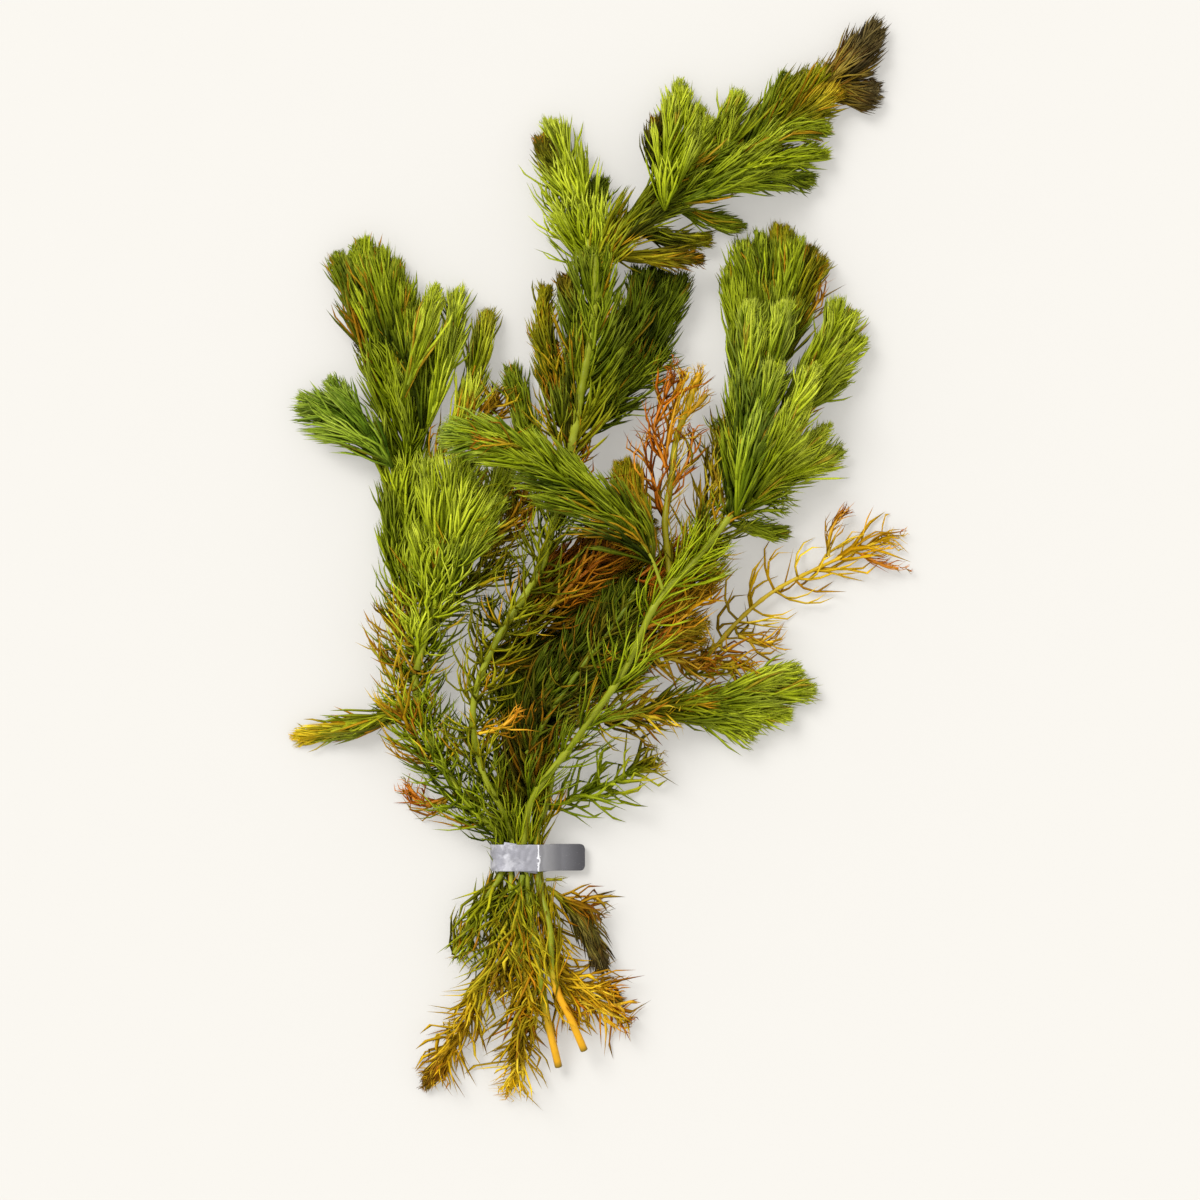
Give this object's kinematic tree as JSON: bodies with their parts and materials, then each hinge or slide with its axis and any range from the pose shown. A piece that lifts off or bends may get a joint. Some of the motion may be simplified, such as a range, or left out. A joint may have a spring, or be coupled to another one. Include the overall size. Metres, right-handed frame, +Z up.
{
  "type": "hornwort bunch",
  "caption": "Bunch of cut hornwort stems with bushy whorls of fine forked leaves, lying flat and tied low down with a bent strip of lead.",
  "frame": {"origin": "on the surface the bunch lies on, under the middle of the lead strip where it holds the stems", "axes": "+Y up the bunch from the strip to the tips, +X to the right seen from above, +Z up from the surface"},
  "size_m": [0.1547, 0.2712, 0.0261],
  "materials": {
    "bright_leaf": "wet light green hornwort leaves, with small soft highlights",
    "mid_leaf": "wet mid green hornwort leaves",
    "deep_leaf": "wet dark green hornwort leaves",
    "olive_leaf": "wet olive green to brown hornwort leaves",
    "yellow_leaf": "wet yellowed hornwort leaves and cut stem ends",
    "rusty_leaf": "rust-brown wilted hornwort leaves",
    "withered_leaf": "grey-brown withered hornwort leaves",
    "green_stem": "smooth wet green hornwort stem",
    "lead": "dull grey soft lead sheet with a satin sheen, creases and fine scratches"
  },
  "bodies": {
    "root": {"lead_strip": "lead", "right_stem": "green_stem", "crossing_sprig": "bright_leaf", "olive_lobe": "olive_leaf", "right_top_tuft": "mid_leaf", "right_front_tuft": "bright_leaf", "right_side_tuft": "bright_leaf", "right_fan": "bright_leaf", "right_lower_tuft": "bright_leaf", "right_low_sprig": "deep_leaf", "bare_cut_stem": "yellow_leaf", "rusty_curled_leaf": "rusty_leaf", "rusty_sprig": "rusty_leaf", "straggly_sprig": "yellow_leaf", "straggly_side_branch": "yellow_leaf", "straggly_up_twig": "yellow_leaf", "straggly_curled_fork": "rusty_leaf", "lower_right_sprig": "bright_leaf", "thin_stem": "green_stem", "low_twig": "mid_leaf", "middle_stem": "green_stem", "middle_upper_stem": "deep_leaf", "upper_left_tuft": "bright_leaf", "long_spray": "mid_leaf", "withered_tip": "withered_leaf", "withered_lobe": "withered_leaf", "spray_lower_lobe": "mid_leaf", "spray_side_sprig": "bright_leaf", "spray_small_sprig": "mid_leaf", "olive_small_sprig": "olive_leaf", "thin_sprig": "olive_leaf", "deep_right_sprig": "deep_leaf", "narrow_sprig": "mid_leaf", "left_stem": "green_stem", "left_front_tuft": "bright_leaf", "left_back_tuft": "mid_leaf", "left_side_tuft": "deep_leaf", "left_inner_lobe": "mid_leaf", "left_middle_lobe": "olive_leaf", "left_outer_lobe": "olive_leaf", "yellow_tip_sprig": "bright_leaf", "curled_leaf": "rusty_leaf", "heart_sprig": "deep_leaf", "heart_low_sprig": "deep_leaf", "heart_high_sprig": "rusty_leaf", "low_tuft": "deep_leaf", "left_foot_sprig": "olive_leaf", "middle_foot_sprig": "yellow_leaf", "right_foot_sprig": "yellow_leaf", "withered_cone": "withered_leaf", "small_leaf": "yellow_leaf"}
  },
  "joints": []
}
